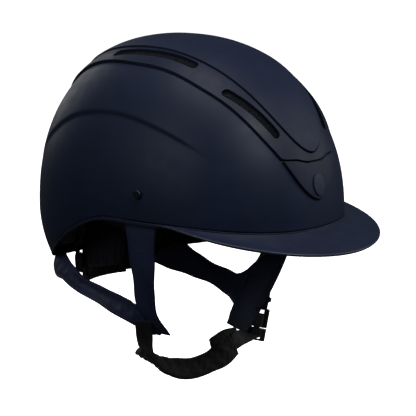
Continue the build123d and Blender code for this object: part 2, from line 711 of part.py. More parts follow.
with BuildPart() as buckle_male:
    with BuildSketch(buckle_plane(MALE_TOP)):
        RectangleRounded(BUCKLE_WIDTH, BUCKLE_THICK - 0.8, 2.8)
    extrude(amount=MALE_LONG)
    fillet(buckle_male.edges().group_by(buckle_axis)[-1], 1.0)
    with BuildSketch(buckle_plane(TONGUE_TOP)):
        Rectangle(TONGUE_WIDE, TONGUE_THICK)
    extrude(amount=MALE_TOP - TONGUE_TOP + 1)
    with BuildSketch(buckle_plane(MALE_TOP + MALE_LONG - BAR_LONG - SLOT_LONG)):
        Rectangle(SLOT_WIDE, 2 * BUCKLE_THICK)
    extrude(amount=SLOT_LONG, mode=Mode.SUBTRACT)
save(buckle_male.part, "buckle_male")

PRONG_ROOT = MALE_TOP - 0.4
prong_plane = Plane(BUCKLE_TOP, x_dir=(0, 1, 0), z_dir=BUCKLE_RUN.cross(Vector(0, 1, 0)))

for side, name in ((-1, "front_prong"), (1, "rear_prong")):
    with BuildPart() as prong:
        with BuildSketch(prong_plane):
            with BuildLine():
                Polyline(
                    (side * PRONG_IN, -TONGUE_TOP),
                    (side * PRONG_OUT, -TONGUE_TOP - 0.6),
                    (side * PRONG_FACE, -WINDOW_START - 2.6),
                    (side * PRONG_FACE, -FEMALE_LONG + 2.4),
                    (side * PRONG_OUT, -FEMALE_LONG + 1.2),
                    (side * PRONG_OUT, -PRONG_ROOT),
                    (side * PRONG_IN, -PRONG_ROOT),
                    close=True,
                )
            make_face()
        extrude(amount=PRONG_THICK / 2, both=True)
    save(prong.part, name)

# ---- nape cradle, its pivots and its pad ----

CRADLE_SIDE = [  # the cradle's outline in side view, (y, z), from the pivot round the nape
    (24, 1), (26, 8), (34, 9), (42, 4), (50, -6), (66, -24), (84, -44), (98, -51), (110, -51),
    (110, -79), (96, -79), (80, -69), (62, -50), (46, -28), (33, -8),
]


def round_edge_plane(angle, radius, z):
    """A plane that faces outward from the cradle's round band; angle 0 is the very back."""
    lean = math.radians(angle)
    out = (math.sin(lean), math.cos(lean), 0)
    spot = (radius * out[0], ARC_Y + radius * out[1], z)
    return Plane(spot, x_dir=(-out[1], out[0], 0), z_dir=out)


def arc_band(inner_r, outer_r, z_range, angles):
    """An upright round band about the cradle's centre, between two angles from the back."""
    fan = [(0, ARC_Y)]
    for step in range(9):
        lean = math.radians(angles[0] + (angles[1] - angles[0]) * step / 8)
        fan.append((3 * outer_r * math.sin(lean), ARC_Y + 3 * outer_r * math.cos(lean)))
    with BuildPart() as band:
        with BuildSketch(Plane.XY.offset(z_range[0])):
            with Locations((0, ARC_Y)):
                Circle(outer_r)
                Circle(inner_r, mode=Mode.SUBTRACT)
            with BuildLine():
                Polyline(fan, close=True)
            make_face(mode=Mode.INTERSECT)
        extrude(amount=z_range[1] - z_range[0])
    return band.part


CRADLE_END_ANGLE = 95
SCREW_ANGLE = 20
SCREW_R = 1.3
cradle_ring = arc_band(
    CRADLE_R, CRADLE_R + CRADLE_THICK, (-90, 20), (-CRADLE_END_ANGLE, CRADLE_END_ANGLE)
)

with BuildPart() as nape_cradle:
    with BuildSketch(Plane.YZ):
        with BuildLine():
            Polyline(CRADLE_SIDE, close=True)
        make_face()
        fillet(vertices(), 1.5)
    extrude(amount=SPAN, both=True)
    add(cradle_ring, mode=Mode.INTERSECT)
    with Locations((0, PIVOT_Y, PIVOT_Z)):
        Cylinder(PIVOT_R + RUNNING_GAP, 2 * SPAN, rotation=(0, 90, 0), mode=Mode.SUBTRACT)
    for angle, radius in ((-SCREW_ANGLE, SCREW_R), (0, 1.6), (SCREW_ANGLE, SCREW_R)):
        with BuildSketch(round_edge_plane(angle, CRADLE_R - 5, DIAL_Z)):
            Circle(radius)
        extrude(amount=12, mode=Mode.SUBTRACT)
save(nape_cradle.part, "nape_cradle")

BOSS_X = (69.2, 80.4)
PIN_HEAD_X = (63.6, 65.2)

with BuildPart() as cradle_pivot_pins:
    for side in (-1, 1):
        for start, end, radius in (
            (PIN_HEAD_X[0], PIN_HEAD_X[1], 5.0),
            (PIN_HEAD_X[1], PIN_END_X, PIVOT_R),
            (BOSS_X[0], BOSS_X[1], 5.0),
        ):
            with BuildSketch(Plane((side * start, PIVOT_Y, PIVOT_Z), z_dir=(side, 0, 0))):
                Circle(radius)
            extrude(amount=end - start)
save(cradle_pivot_pins.part, "cradle_pivot_pins")

with BuildPart() as cradle_pad:
    add(arc_band(60, CRADLE_R - 0.3, (DIAL_Z - 10, DIAL_Z + 10), (-46, 46)))
    fillet(cradle_pad.edges().filter_by(Axis.Z), 2)
save(cradle_pad.part, "cradle_pad")

# ---- size dial: housing, two racks, pinion and knob ----

HOUSING_R = (68.8, 73.5)
HOUSING_ANGLE = 24
HOUSING_HALF = 15.0  # half its height
RACK_SPACE_R = (69.4, 72.0)
RACK_SPACE_HALF = 14.0
RACK_NEAR, RACK_FAR = 7.5, 13.0  # the racks' bodies, as distances from the dial's axis
TOOTH_PITCH = 2 * math.pi * PINION_PITCH_R / PINION_TEETH
RACK_TOOTH_REACH = 5.1
RACK_REACH = 38  # how far each rack runs round, in degrees
SHAFT_R = 2.5
STUB_R = 1.55
KNOB_Y = (103.9, 110.5)
PINION_Y = (99.6, 101.5)
GRIP_COUNT = 18

with BuildPart() as dial_housing:
    add(arc_band(
        *HOUSING_R, (DIAL_Z - HOUSING_HALF, DIAL_Z + HOUSING_HALF), (-HOUSING_ANGLE, HOUSING_ANGLE)
    ))
    fillet(dial_housing.edges().filter_by(Axis.Z), 1.5)
    add(
        arc_band(*RACK_SPACE_R, (DIAL_Z - RACK_SPACE_HALF, DIAL_Z + RACK_SPACE_HALF), (-40, 40)),
        mode=Mode.SUBTRACT,
    )
    for angle, radius in ((-SCREW_ANGLE, SCREW_R), (0, SHAFT_R + RUNNING_GAP), (SCREW_ANGLE, SCREW_R)):
        with BuildSketch(round_edge_plane(angle, HOUSING_R[0] - 3, DIAL_Z)):
            Circle(radius)
        extrude(amount=12, mode=Mode.SUBTRACT)
save(dial_housing.part, "dial_housing")

with BuildPart() as housing_screws:
    for angle in (-SCREW_ANGLE, SCREW_ANGLE):
        with BuildSketch(round_edge_plane(angle, CRADLE_R + 0.2, DIAL_Z)):
            Circle(SCREW_R)
        extrude(amount=HOUSING_R[1] - CRADLE_R)
        with BuildSketch(round_edge_plane(angle, HOUSING_R[1] + 0.1, DIAL_Z)):
            Circle(2.4)
        extrude(amount=1.2)
save(housing_screws.part, "housing_screws")


def rack(up, angles, tooth_count):
    """A toothed band. It runs above the pinion where up is 1, and below it where up is -1."""
    heights = sorted((DIAL_Z + up * RACK_NEAR, DIAL_Z + up * RACK_FAR))
    tooth_step = math.degrees(TOOTH_PITCH / RACK_R)
    with BuildPart() as teeth:
        for count in range(tooth_count):
            angle = (count + 0.5 - tooth_count / 2) * tooth_step
            with BuildSketch(round_edge_plane(angle, RACK_R - 3, DIAL_Z)):
                with BuildLine():
                    Polyline(
                        (-1.4, up * (RACK_NEAR + 0.5)), (-0.5, up * RACK_TOOTH_REACH),
                        (0.5, up * RACK_TOOTH_REACH), (1.4, up * (RACK_NEAR + 0.5)), close=True,
                    )
                make_face()
            extrude(amount=8)
    with BuildPart() as band:
        add(teeth.part)
        add(arc_band(RACK_R, RACK_R + RACK_THICK, (-90, -40), (-40, 40)), mode=Mode.INTERSECT)
        add(arc_band(RACK_R, RACK_R + RACK_THICK, heights, angles))
    return band.part


save(rack(1, (-RACK_REACH, 12.5), 6), "right_rack")
save(rack(-1, (-12.5, RACK_REACH), 6), "left_rack")


def dial_section(y):
    """A plane across the dial's axis, with +X to the right and +Z up."""
    return Plane((0, y, DIAL_Z), x_dir=(-1, 0, 0), z_dir=(0, 1, 0))


with BuildPart() as drive_pinion:
    with BuildSketch(dial_section(PINION_Y[0])):
        Circle(4.4)
        with PolarLocations(0, PINION_TEETH):
            Polygon((4.0, -1.15), (6.8, -0.4), (6.8, 0.4), (4.0, 1.15), align=None)
    extrude(amount=PINION_Y[1] - PINION_Y[0])
    with BuildSketch(dial_section(PINION_Y[0])):
        Circle(STUB_R)
    extrude(amount=CRADLE_R + ARC_Y + 0.3 - PINION_Y[0])
    with BuildSketch(dial_section(PINION_Y[1])):
        Circle(SHAFT_R)
    extrude(amount=KNOB_Y[0] + 3.0 - PINION_Y[1])
    with BuildSketch(dial_section(PINION_Y[1])):
        Circle(0.9)
    extrude(amount=10, mode=Mode.SUBTRACT)
save(drive_pinion.part, "drive_pinion")

with BuildPart() as dial_knob:
    with BuildSketch(dial_section(KNOB_Y[0])):
        Circle(KNOB_R)
    extrude(amount=KNOB_Y[1] - KNOB_Y[0])
    fillet(dial_knob.faces().sort_by(Axis.Y)[-1].edges(), 1.6)
    fillet(dial_knob.faces().sort_by(Axis.Y)[0].edges(), 0.5)
    with BuildSketch(dial_section(KNOB_Y[0] - 1)):
        with PolarLocations(KNOB_R + 0.5, GRIP_COUNT):
            Circle(1.1)
    extrude(amount=KNOB_Y[1] - KNOB_Y[0] + 2, mode=Mode.SUBTRACT)
    with BuildSketch(dial_section(KNOB_Y[0])):
        Circle(SHAFT_R)
    extrude(amount=3.0, mode=Mode.SUBTRACT)
    with BuildSketch(dial_section(KNOB_Y[0])):
        Circle(0.9)
    extrude(amount=10, mode=Mode.SUBTRACT)
    with BuildSketch(dial_section(KNOB_Y[1] - 1.2)):
        Circle(2.1)
    extrude(amount=3, mode=Mode.SUBTRACT)
save(dial_knob.part, "dial_knob")

with BuildPart() as dial_screw:
    with BuildSketch(dial_section(KNOB_Y[1] - 1.2)):
        Circle(2.0)
    extrude(amount=1.0)
    with BuildSketch(dial_section(PINION_Y[1] + 0.2)):
        Circle(0.9)
    extrude(amount=KNOB_Y[1] - 1.2 - PINION_Y[1] - 0.2)
save(dial_screw.part, "dial_screw")
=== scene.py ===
"""The looks of an equestrian riding helmet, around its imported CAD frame."""

import json
import math
import random

import bmesh
import bpy
import numpy as np
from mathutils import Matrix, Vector, noise as smooth_noise
from mathutils.bvhtree import BVHTree


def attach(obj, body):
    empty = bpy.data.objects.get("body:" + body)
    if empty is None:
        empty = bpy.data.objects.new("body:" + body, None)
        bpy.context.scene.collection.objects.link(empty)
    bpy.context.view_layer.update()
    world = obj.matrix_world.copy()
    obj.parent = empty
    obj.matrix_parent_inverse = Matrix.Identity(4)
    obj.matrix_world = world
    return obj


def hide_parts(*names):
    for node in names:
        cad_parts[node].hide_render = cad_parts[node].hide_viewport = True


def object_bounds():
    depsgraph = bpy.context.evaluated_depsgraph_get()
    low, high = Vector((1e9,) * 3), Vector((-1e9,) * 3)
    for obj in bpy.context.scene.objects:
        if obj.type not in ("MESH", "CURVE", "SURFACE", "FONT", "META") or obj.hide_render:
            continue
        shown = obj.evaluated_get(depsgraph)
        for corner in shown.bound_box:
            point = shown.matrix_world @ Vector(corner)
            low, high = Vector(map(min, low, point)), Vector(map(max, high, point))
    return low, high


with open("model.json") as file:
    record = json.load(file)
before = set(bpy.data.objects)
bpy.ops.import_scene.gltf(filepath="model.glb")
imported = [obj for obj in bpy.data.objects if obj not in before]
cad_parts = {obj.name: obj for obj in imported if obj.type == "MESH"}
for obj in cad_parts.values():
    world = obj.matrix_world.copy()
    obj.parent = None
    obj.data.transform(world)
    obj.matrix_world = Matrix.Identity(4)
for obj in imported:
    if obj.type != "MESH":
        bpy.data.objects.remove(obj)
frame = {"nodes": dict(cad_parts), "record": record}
cad_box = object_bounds()
nodes = frame["nodes"]
MM = 0.001

# ---- driving dimensions, in millimetres, as in the CAD ----

HALF_WIDTH, HALF_LENGTH, HEIGHT = 111.0, 142.0, 150.0
SKIRT_DEPTH, FRONT_SHIFT = 120.0, 8.0
PLAN_POWER, SIDE_POWER = 2.35, 2.2
SHELL_THICK = 2.5
# the rim's seam in side view, (y, z)
SEAM_FRONT = [(-200.0, -10.4), (-150.0, -2.4), (-110.0, 2.04), (-70.0, 4.71), (-30.0, 5.6)]
SEAM_REAR = [(5, 4.2), (27, -4), (46, -14.5), (84, -40), (112, -52.5), (150, -57)]
SEAM = SEAM_FRONT + SEAM_REAR

# ---- camera, floor and light, in metres ----

CAMERA_AZIMUTH, CAMERA_ELEVATION = math.radians(-51), math.radians(10.6)
CAMERA_DISTANCE = 1.665
CAMERA_LENS = 160.2
CAMERA_RIGHT, CAMERA_UP = 0.0225, -0.0035  # the aim point, from the origin, across and up the view
VIEW_END = 20
FLOOR_RADIUS = 6
FLOOR_DROP = 0.06  # how far the floor lies below the helmet's lowest point
FLOOR_GLOW = 1.0  # the lit paper floor's own brightness
SURROUND = 0.05  # brightness of the white surround
LIGHTS = [
    # name, place (towards the camera, to its right, up), height aimed at, size, power in watts
    ("key_light", (1.0, 1.2, 1.3), 0.05, (1.1, 0.9), 42),
    ("top_light", (0.2, -0.1, 1.8), 0.05, (1.4, 1.0), 29),
    ("fill_light", (1.2, -1.3, 0.7), -0.02, (1.0, 1.0), 12),
    ("side_light", (-0.3, 1.6, 0.7), 0.0, (0.9, 1.0), 9),
    ("rear_light", (-1.4, -1.0, 0.9), 0.0, (1.0, 1.0), 5),
]


def look_at(obj, target):
    """Turns a light or a camera to face a point."""
    obj.rotation_euler = (target - obj.location).to_track_quat("-Z", "Y").to_euler()


def make_camera():
    """The photo's camera; returns the directions back towards it and to its right."""
    azimuth, elevation = CAMERA_AZIMUTH, CAMERA_ELEVATION
    back = Vector((
        math.sin(azimuth) * math.cos(elevation),
        -math.cos(azimuth) * math.cos(elevation),
        math.sin(elevation),
    ))
    right = Vector((math.cos(azimuth), math.sin(azimuth), 0))
    target = CAMERA_RIGHT * right + CAMERA_UP * back.cross(right)
    camera = bpy.data.objects.new("camera", bpy.data.cameras.new("camera"))
    camera.data.lens = CAMERA_LENS
    camera.data.clip_end = VIEW_END
    camera.location = target + CAMERA_DISTANCE * back
    look_at(camera, target)
    bpy.context.collection.objects.link(camera)
    bpy.context.scene.camera = camera
    return back, right


def area_light(name, location, height, size, power):
    """A large soft light, turned to a height on the helmet's axis."""
    light = bpy.data.objects.new(name, bpy.data.lights.new(name, "AREA"))
    light.data.shape = "RECTANGLE"
    light.data.size, light.data.size_y = size
    light.data.energy = power
    light.location = location
    look_at(light, Vector((0, 0, height)))
    bpy.context.collection.objects.link(light)


def make_stage(back, right):
    """A glowing paper floor under the helmet, a dim white surround and the lights."""
    world = bpy.data.worlds.new("surround")
    bpy.context.scene.world = world
    world.use_nodes = True
    background = world.node_tree.nodes["Background"]
    background.inputs["Color"].default_value = (1, 1, 1, 1)
    background.inputs["Strength"].default_value = SURROUND
    bpy.context.scene.view_settings.view_transform = "Standard"
    bpy.ops.mesh.primitive_circle_add(vertices=96, radius=FLOOR_RADIUS, fill_type="NGON")
    floor = bpy.context.object
    floor.name = "floor"
    floor.location.z = cad_box[0][2] - FLOOR_DROP
    floor.data.materials.append(floor_material())
    floor.visible_glossy = floor.visible_diffuse = False
    for name, (ahead, across, up), height, size, power in LIGHTS:
        location = ahead * back + across * right + up * Vector((0, 0, 1))
        area_light(name, location, height, size, power)


# ---- materials ----

SURFACE_GRAIN = 0.00004  # metres, as are all depths of bumps
SOFT_EDGE = 0.0005
WAVE_SCALE = 0.05  # of the wave texture, which sets its bands about six threads apart


def new_material(name, color, roughness):
    """A node material with a principled shader; returns it with its tree and shader."""
    material = bpy.data.materials.new(name)
    material.use_nodes = True
    shader = material.node_tree.nodes["Principled BSDF"]
    shader.inputs["Base Color"].default_value = (*color, 1)
    shader.inputs["Roughness"].default_value = roughness
    return material, material.node_tree, shader


def place(tree):
    """Coordinates that stay with a piece as it moves, in metres."""
    return tree.nodes.new("ShaderNodeTexCoord").outputs["Object"]


def noise(tree, scale, detail=3.0):
    node = tree.nodes.new("ShaderNodeTexNoise")
    node.inputs["Scale"].default_value = scale
    node.inputs["Detail"].default_value = detail
    tree.links.new(place(tree), node.inputs["Vector"])
    return node.outputs["Fac"]


def ramp(tree, value, low, high, start=0.3, end=0.7):
    """Maps a value to a range between two colours or two greys."""
    node = tree.nodes.new("ShaderNodeValToRGB")
    node.color_ramp.elements[0].position = start
    node.color_ramp.elements[1].position = end
    node.color_ramp.elements[0].color = (*low, 1)
    node.color_ramp.elements[1].color = (*high, 1)
    tree.links.new(value, node.inputs["Fac"])
    return node.outputs["Color"]


def grey(level):
    return (level, level, level)


def mottle(tree, shader, value, color, first, last, start=0.3, end=0.7):
    """Lets a value vary a shader's colour, from one multiple of it to another."""
    shades = [tuple(factor * c for c in color) for factor in (first, last)]
    tree.links.new(ramp(tree, value, *shades, start, end), shader.inputs["Base Color"])


def bump(tree, height, strength, distance, under=None):
    node = tree.nodes.new("ShaderNodeBump")
    node.inputs["Strength"].default_value = strength
    node.inputs["Distance"].default_value = distance
    tree.links.new(height, node.inputs["Height"])
    if under:
        tree.links.new(under, node.inputs["Normal"])
    return node.outputs["Normal"]


def soft_edges(tree, radius):
    """Normals that round a moulded piece's sharp edges."""
    node = tree.nodes.new("ShaderNodeBevel")
    node.samples = 6
    node.inputs["Radius"].default_value = radius
    return node.outputs["Normal"]


def combine(tree, operation, first, second):
    """A sum or a product of two values, each from the tree or a plain number."""
    node = tree.nodes.new("ShaderNodeMath")
    node.operation = operation
    for socket, value in zip(node.inputs, (first, second)):
        if isinstance(value, (int, float)):
            socket.default_value = value
        else:
            tree.links.new(value, socket)
    return node.outputs["Value"]


def floor_material():
    material, tree, shader = new_material("floor_paper", (0.93, 0.93, 0.93), 0.8)
    tint = ramp(tree, noise(tree, 3.0), (0.92, 0.92, 0.925), (0.95, 0.95, 0.95))
    tree.links.new(tint, shader.inputs["Base Color"])
    shader.inputs["Emission Color"].default_value = (1, 1, 1, 1)
    shader.inputs["Emission Strength"].default_value = FLOOR_GLOW
    return material


def moulded(name, color, roughness, specular=0.1):
    """Moulded or coated plastic: fine grain, slightly uneven colour and gloss, softened edges."""
    material, tree, shader = new_material(name, color, roughness)
    mottle(tree, shader, noise(tree, 28.0, 5.0), color, 0.88, 1.12)
    gloss = ramp(tree, noise(tree, 90.0, 4.0), grey(roughness - 0.05), grey(roughness + 0.05))
    tree.links.new(gloss, shader.inputs["Roughness"])
    normal = bump(tree, noise(tree, 2600.0, 2.0), 0.35, SURFACE_GRAIN, soft_edges(tree, SOFT_EDGE))
    tree.links.new(normal, shader.inputs["Normal"])
    shader.inputs["Specular IOR Level"].default_value = specular
    return material


def leather(name, color, roughness):
    """Soft imitation leather with a fine pebbled grain and faint creases."""
    material, tree, shader = new_material(name, color, roughness)
    cells = tree.nodes.new("ShaderNodeTexVoronoi")
    cells.feature = "DISTANCE_TO_EDGE"
    cells.inputs["Scale"].default_value = 900.0
    tree.links.new(place(tree), cells.inputs["Vector"])
    pores = ramp(tree, cells.outputs["Distance"], grey(0.0), grey(1.0), 0.0, 0.25)
    mottle(tree, shader, noise(tree, 45.0, 6.0), color, 0.75, 1.3)
    creases = bump(tree, noise(tree, 260.0, 5.0), 0.4, 0.0003)
    tree.links.new(bump(tree, pores, 0.35, 0.0001, creases), shader.inputs["Normal"])
    shader.inputs["Specular IOR Level"].default_value = 0.2
    return material


def woven(name, color, thread, roughness, sheen):
    """Cloth with two crossing sets of soft bands, for a thread of this width in metres."""
    material, tree, shader = new_material(name, color, roughness)
    waves = []
    for direction in ((1, 1, 0.35), (0.35, -1, 1)):
        node = tree.nodes.new("ShaderNodeTexWave")
        node.inputs["Scale"].default_value = WAVE_SCALE / thread
        node.inputs["Distortion"].default_value = 0.6
        node.inputs["Detail"].default_value = 1.0
        mapping = tree.nodes.new("ShaderNodeMapping")
        mapping.inputs["Rotation"].default_value = direction
        tree.links.new(place(tree), mapping.inputs["Vector"])
        tree.links.new(mapping.outputs["Vector"], node.inputs["Vector"])
        waves.append(node.outputs["Fac"])
    weave = combine(tree, "MULTIPLY", *waves)
    blotch = combine(tree, "MULTIPLY", noise(tree, 60.0, 5.0), 0.8)
    mottle(tree, shader, combine(tree, "ADD", weave, blotch), color, 0.75, 1.3, 0.2, 1.0)
    fuzz = bump(tree, noise(tree, 1500.0, 3.0), 0.3, 0.0001)
    tree.links.new(bump(tree, weave, 0.6, 0.00025, fuzz), shader.inputs["Normal"])
    shader.inputs["Sheen Weight"].default_value = sheen
    shader.inputs["Sheen Roughness"].default_value = 0.5
    shader.inputs["Specular IOR Level"].default_value = 0.15
    return material


def beaded_foam(name, color):
    """Expanded foam: fused beads a few millimetres across, each with painted shade that darkens it
    towards its sunken edge.
    """
    material, tree, shader = new_material(name, color, 0.75)
    cells = tree.nodes.new("ShaderNodeTexVoronoi")
    cells.inputs["Scale"].default_value = 300.0
    tree.links.new(place(tree), cells.inputs["Vector"])
    distance = cells.outputs["Distance"]
    # the bead pattern is the foam's own; its darkening from each bead's middle to its sunken edge is
    # painted shade in the hollows between beads
    mottle(tree, shader, distance, color, 1.2, 0.6, 0.1, 0.8)
    tree.links.new(bump(tree, distance, 0.6, -0.0005), shader.inputs["Normal"])
    return material


def coated_metal(name, color, roughness):
    """Dark plated metal, barely uneven, with softened edges."""
    material, tree, shader = new_material(name, color, roughness)
    shader.inputs["Metallic"].default_value = 0.7
    mottle(tree, shader, noise(tree, 300.0, 4.0), color, 0.8, 1.2)
    normal = bump(tree, noise(tree, 1800.0, 2.0), 0.25, 0.00005, soft_edges(tree, 0.0003))
    tree.links.new(normal, shader.inputs["Normal"])
    return material


MATERIALS = {
    "shell_navy": moulded("shell_coating", (0.0045, 0.0077, 0.0192), 0.47),
    "frame_navy": moulded("frame_coating", (0.0040, 0.0064, 0.0160), 0.45),
    "panel_navy": moulded("panel_coating", (0.0050, 0.0080, 0.0195), 0.5),
    "rim_navy": moulded("rim_coating", (0.0046, 0.0075, 0.0185), 0.42, 0.2),
    "badge_trim": moulded("badge_coating", (0.0080, 0.0120, 0.0260), 0.36),
    "vent_wire": moulded("vent_wire", (0.0012, 0.0018, 0.0040), 0.5, 0.12),
    "inlet_black": moulded("inlet_black", (0.0022, 0.0024, 0.0030), 0.55),
    "liner_foam": beaded_foam("liner_foam", (0.0040, 0.0042, 0.0052)),
    "lining_cloth": woven("lining_cloth", (0.0022, 0.0030, 0.0060), 0.0011, 0.8, 0.04),
    "strap_leather": leather("strap_leather", (0.0100, 0.0160, 0.0420), 0.52),
    "webbing_black": woven("webbing_black", (0.0100, 0.0102, 0.0108), 0.0013, 0.62, 0.04),
    "pad_cloth": woven("pad_cloth", (0.0125, 0.0126, 0.0130), 0.0008, 0.8, 0.05),
    "buckle_black": moulded("buckle_black", (0.0030, 0.0032, 0.0038), 0.36, 0.3),
    "cradle_black": moulded("cradle_black", (0.0036, 0.0038, 0.0046), 0.42),
    "dial_black": moulded("dial_black", (0.0050, 0.0053, 0.0062), 0.5),
    "fastener_dark": coated_metal("fastener_dark", (0.008, 0.010, 0.016), 0.38),
}


def dress_frame():
    """Gives every CAD node the finished material of its slot."""
    for part in frame["record"]["subparts"]:
        node = nodes[part["node"]]
        node.data.materials.clear()
        node.data.materials.append(MATERIALS[part["material_slot"]])


# ---- the dome's form ----


def dome_xyz(lean, turn, gap):
    """Points of the dome, gap inside the shell's face, at angles from the crown and round the plan."""
    lean, turn, gap = np.broadcast_arrays(lean, turn, gap)
    upper = np.minimum(lean, math.pi / 2)
    across, up = np.sin(upper), np.abs(np.cos(upper))
    scale = (across**SIDE_POWER + up**SIDE_POWER) ** (-1 / SIDE_POWER)
    ratio, z = across * scale, (HEIGHT - gap) * up * scale
    shift = FRONT_SHIFT * ratio**2
    below = np.maximum(lean - math.pi / 2, 0) * (HEIGHT - gap) / SKIRT_DEPTH
    under = lean > math.pi / 2
    ratio = np.where(under, np.cos(below), ratio)
    z = np.where(under, -SKIRT_DEPTH * np.sin(below), z)
    shift = np.where(under, FRONT_SHIFT, shift)
    a, b = np.cos(turn), np.sin(turn)
    plan = (np.abs(a) ** PLAN_POWER + np.abs(b) ** PLAN_POWER) ** (-1 / PLAN_POWER)
    x = (HALF_WIDTH - gap) * ratio * a * plan
    y = (HALF_LENGTH - gap) * ratio * b * plan - shift
    return np.stack([x, y, z], -1)


def smooth_curve(points, at):
    """A smooth line through (x, y) points, read at the given x."""
    xs, ys = np.array(points, float).T
    slope = np.gradient(ys, xs)
    i = np.clip(np.searchsorted(xs, at) - 1, 0, len(xs) - 2)
    step = xs[i + 1] - xs[i]
    t = np.clip((at - xs[i]) / step, 0, 1)
    return (
        (2 * t**3 - 3 * t**2 + 1) * ys[i] + (t**3 - 2 * t**2 + t) * step * slope[i]
        + (-2 * t**3 + 3 * t**2) * ys[i + 1] + (t**3 - t**2) * step * slope[i + 1]
    )


def smoothstep(value):
    """Eases from 0 to 1 as the value does."""
    t = np.clip(value, 0, 1)
    return t * t * (3 - 2 * t)


LEAN_RANGE = 0.6, math.radians(118)  # the seam lies between these angles from the crown
HALVINGS = 40


def seam_lean(turn, gap, lowered):
    """The angle from the crown at which the dome meets the rim's seam line, lowered by so much."""
    low, high = (np.full(turn.shape, lean) for lean in LEAN_RANGE)
    for _ in range(HALVINGS):
        middle = (low + high) / 2
        point = dome_xyz(middle, turn, gap)
        above = point[..., 2] > smooth_curve(SEAM, point[..., 1]) - lowered
        low, high = np.where(above, middle, low), np.where(above, high, middle)
    return (low + high) / 2


# ---- mesh helpers ----


def mesh_object(name, points, faces, slot, body):
    """A new piece from points in millimetres, with its slot's material, riding on a body."""
    mesh = bpy.data.meshes.new(name)
    mesh.from_pydata([tuple(MM * c for c in p) for p in points], [], faces)
    mesh.validate()
    work = bmesh.new()
    work.from_mesh(mesh)
    bmesh.ops.recalc_face_normals(work, faces=work.faces)
    work.to_mesh(mesh)
    work.free()
    smooth(mesh)
    piece = bpy.data.objects.new(name, mesh)
    bpy.context.collection.objects.link(piece)
    mesh.materials.append(MATERIALS[slot])
    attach(piece, body)
    return piece


def smooth(mesh):
    mesh.polygons.foreach_set("use_smooth", [True] * len(mesh.polygons))


def node_mesh(name):
    """A CAD node's points, in millimetres, and its faces."""
    node = nodes[name]
    points = [node.matrix_world @ vertex.co / MM for vertex in node.data.vertices]
    return points, [tuple(face.vertices) for face in node.data.polygons]


def node_tree(name):
    """A search tree over a CAD node's mesh, in millimetres, and its points."""
    points, faces = node_mesh(name)
    return BVHTree.FromPolygons(points, faces), np.array(points)


def grid_faces(rows, columns, start=0):
    """Quads of a grid of points, whose rows close on themselves."""
    faces = []
    for row in range(rows - 1):
        for column in range(columns):
            after = (column + 1) % columns
            a, b = start + row * columns, start + (row + 1) * columns
            faces.append((a + column, a + after, b + after, b + column))
    return faces


def sweep_faces(rings, sides, start=0):
    """Quads between rings of points, and a face over each end."""
    last = start + (rings - 1) * sides
    ends = [tuple(range(first, first + sides)) for first in (start, last)]
    return grid_faces(rings, sides, start) + ends


def apply_modifiers(piece):
    """Replaces a piece's mesh with what its modifiers make of it."""
    depsgraph = bpy.context.evaluated_depsgraph_get()
    mesh = bpy.data.meshes.new_from_object(piece.evaluated_get(depsgraph))
    piece.modifiers.clear()
    piece.data = mesh
    smooth(mesh)


SOFTEN_ROUNDS = 3


def rounded(piece, voxel):
    """Turns a piece into one even skin, with cells of this size, and softens its corners."""
    remesh = piece.modifiers.new("skin", "REMESH")
    remesh.mode = "VOXEL"
    remesh.voxel_size = voxel * MM
    soften = piece.modifiers.new("soften", "SMOOTH")
    soften.factor, soften.iterations = 0.5, SOFTEN_ROUNDS
    apply_modifiers(piece)


# ---- outer shell, with the embossed brow line on each side ----

BROW = [
    (-118, 45), (-94.8, 63), (-78.8, 71.9), (-55.3, 81.7), (-29.1, 89), (-0.8, 92.9), (28.4, 91.3),
    (52.4, 85.4), (80.2, 70.2), (105.5, 48.9), (122, 25),
]  # the line in side view, (y, z)
BROW_STEP = 2.1
BROW_EDGE = 3.2
BROW_FADE = 42.0  # how softly the step fades downwards
BROW_FRONT, BROW_REAR = -108, 116  # the step's ends, along y
BROW_FRONT_FADE, BROW_REAR_FADE = 45, 30
SHELL_COLUMNS, SHELL_ROWS = 480, 190
FIRST_ROW = 0.01  # the first row's share of the way from the crown to the seam
SHELL_CENTRE = (0, 0, -40.0)  # the step is drawn in towards this point
SEAM_GROOVE = 0.4  # how far the shell's face stops short of the rim's seam
SEAM_OVERLAP = 0.8  # how far its inner edge reaches past it
VENT_NODES = [f"{end}_vent_mesh_{side}" for end in ("front", "rear") for side in ("left", "right")]
VENT_REACH = 1.9  # the shell is open this far round each grille
VENT_MARGIN = 4  # only faces this near a grille's box are searched


def brow_depth(points):
    """How far the shell is drawn in below its brow line, fading downwards and to both ends."""
    y, z = points[..., 1], points[..., 2]
    below = smooth_curve(BROW, y) - z
    front = smoothstep((y - BROW_FRONT) / BROW_FRONT_FADE)
    rear = smoothstep((BROW_REAR - y) / BROW_REAR_FADE)
    edge = smoothstep((below + BROW_EDGE / 2) / BROW_EDGE)
    return BROW_STEP * edge * np.exp(-np.maximum(below, 0) / BROW_FADE) * front * rear


def over_vents(centres):
    """Which of these points of the shell lie under a vent's grille."""
    centres = np.array(centres)
    result = np.zeros(len(centres), bool)
    for name in VENT_NODES:
        tree, points = node_tree(name)
        low, high = points.min(axis=0) - VENT_MARGIN, points.max(axis=0) + VENT_MARGIN
        for index in np.flatnonzero(((centres > low) & (centres < high)).all(axis=1)):
            if tree.find_nearest(Vector(centres[index]), VENT_REACH)[0]:
                result[index] = True
    return result


def shell_layer(turn, gap, lowered):
    """A face of the shell, in rows from the crown down to the rim's seam."""
    share = np.linspace(FIRST_ROW, 1, SHELL_ROWS)[:, None]
    return dome_xyz(share * seam_lean(turn, gap, lowered)[None, :], turn[None, :], gap)


